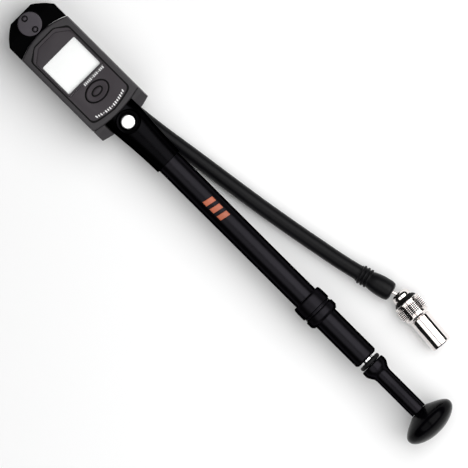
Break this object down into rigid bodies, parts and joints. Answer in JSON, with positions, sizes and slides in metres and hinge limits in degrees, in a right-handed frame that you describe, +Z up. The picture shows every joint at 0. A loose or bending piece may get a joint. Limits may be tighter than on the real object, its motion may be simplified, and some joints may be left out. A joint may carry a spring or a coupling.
{
  "type": "shock suspension pump",
  "caption": "Digital bicycle suspension pump: flat gauge head, slim barrel with a knobbed sliding handle, and a swivelling hose with a ball-jointed screw-on valve chuck.",
  "frame": {"origin": "under the middle of the pump's box without the hose, on the surface that it lies on", "axes": "+X along the barrel from the gauge head to the knob, +Z up out of the display's face, +Y across, on the hose's side"},
  "size_m": [0.3134, 0.0603, 0.0312],
  "materials": {
    "gloss_black": "piano-black gloss moulding",
    "dark_grey": "satin moulding",
    "shell_grey": "fine matt moulding, warm dark grey",
    "panel_grey": "satin overlay, dark grey",
    "button_rubber": "matt rubber",
    "display_white": "blank white display",
    "lens": "clear, polished",
    "board_green": "solder mask",
    "satin_black": "satin black coat",
    "barrel_black": "satin black anodised",
    "collar_black": "matt moulding",
    "handle_black": "soft-touch matt moulding",
    "rubber": "matt seal rubber",
    "hose_rubber": "smooth matt rubber",
    "chrome": "polished plate",
    "rod_chrome": "hard chrome, polished",
    "silver": "polished",
    "steel": "bright",
    "brass": "machined"
  },
  "bodies": {
    "pump_body": {"end_block": "gloss_black", "swivel_plug": "dark_grey", "swivel_post": "steel", "swivel_seal_1": "rubber", "swivel_seal_2": "rubber", "rear_shell": "shell_grey", "front_shell": "shell_grey", "display_panel": "panel_grey", "display_lens": "lens", "lcd_module": "display_white", "mode_switch": "steel", "circuit_board": "board_green", "pressure_sensor": "steel", "air_tube": "brass", "coin_cell": "steel", "battery_clip": "brass", "shell_screw_1": "steel", "shell_screw_2": "steel", "shell_screw_3": "steel", "shell_screw_4": "steel", "neck": "satin_black", "bleed_spring": "steel", "cylinder_head": "brass", "check_retainer": "brass", "check_spring": "steel", "outer_barrel": "barrel_black", "pressure_cylinder": "barrel_black", "lower_barrel": "barrel_black", "barrel_collar": "collar_black", "retaining_ring": "collar_black", "rod_guide": "brass", "rod_wiper": "rubber", "top_out_bumper": "rubber"},
    "handle": {"piston_head": "brass", "piston_seal": "rubber", "piston_rod": "rod_chrome", "bump_stop": "rubber", "handle_stem": "handle_black", "handle_knob": "handle_black"},
    "mode_button": {"mode_button": "button_rubber"},
    "bleed_button": {"bleed_button": "silver", "bleed_stem": "brass", "bleed_seal": "rubber"},
    "battery_door": {"battery_door": "shell_grey", "battery_door_seal": "rubber"},
    "check_valve": {"check_ball": "steel"},
    "hose": {"swivel_elbow": "satin_black", "hose_ferrule": "steel", "hose": "hose_rubber", "hose_boot": "hose_rubber", "ball_stem": "chrome"},
    "chuck": {"chuck_cup": "chrome"},
    "chuck_sleeve": {"chuck_sleeve": "chrome", "chuck_gasket": "rubber"},
    "chuck_collar": {"chuck_collar": "chrome"},
    "depressor_pin": {"depressor_pin": "brass"}
  },
  "joints": [
    {"name": "handle_slide", "type": "slide", "parent": "pump_body", "child": "handle", "axis": [1, 0, 0], "range_m": [0, 0.123]},
    {"name": "mode_press", "type": "slide", "parent": "pump_body", "child": "mode_button", "axis": [0, 0, -1], "range_m": [0, 0.0006], "stiffness_N_per_m": 300},
    {"name": "bleed_press", "type": "slide", "parent": "pump_body", "child": "bleed_button", "axis": [0, 0, -1], "range_m": [0, 0.0015], "stiffness_N_per_m": 400, "deforming": ["bleed_spring"]},
    {"name": "battery_door_turn", "type": "hinge", "parent": "pump_body", "child": "battery_door", "pos_m": [-0.103, 0, 0.0103], "axis": [0, 0, 1], "range_deg": [0, 60]},
    {"name": "check_valve_lift", "type": "slide", "parent": "pump_body", "child": "check_valve", "axis": [-1, 0, 0], "range_m": [0, 0.001], "stiffness_N_per_m": 100, "deforming": ["check_spring"]},
    {"name": "hose_swing", "type": "hinge", "parent": "pump_body", "child": "hose", "pos_m": [-0.1495, 0, 0.0047], "axis": [0, 0, 1], "range_deg": [0, 300]},
    {"name": "chuck_tilt", "type": "hinge", "parent": "hose", "child": "chuck", "pos_m": [0.0919, 0.0362, 0.00795], "axis": [0, 0, 1], "range_deg": [-10, 48]},
    {"name": "sleeve_spin", "type": "hinge", "parent": "chuck", "child": "chuck_sleeve", "pos_m": [0.11582, 0.03419, 0.00795], "axis": [0.9965, -0.0837, 0], "continuous": true},
    {"name": "collar_turn", "type": "hinge", "parent": "chuck", "child": "chuck_collar", "pos_m": [0.10087, 0.03545, 0.00795], "axis": [0.9965, -0.0837, 0], "range_deg": [0, 540]},
    {"name": "pin_travel", "type": "slide", "parent": "chuck", "child": "depressor_pin", "axis": [0.9965, -0.0837, 0], "range_m": [0, 0.0015]}
  ],
  "couplings": [
    {"joint": "pin_travel", "follows": "collar_turn", "m_per_rad": 0.000159}
  ]
}
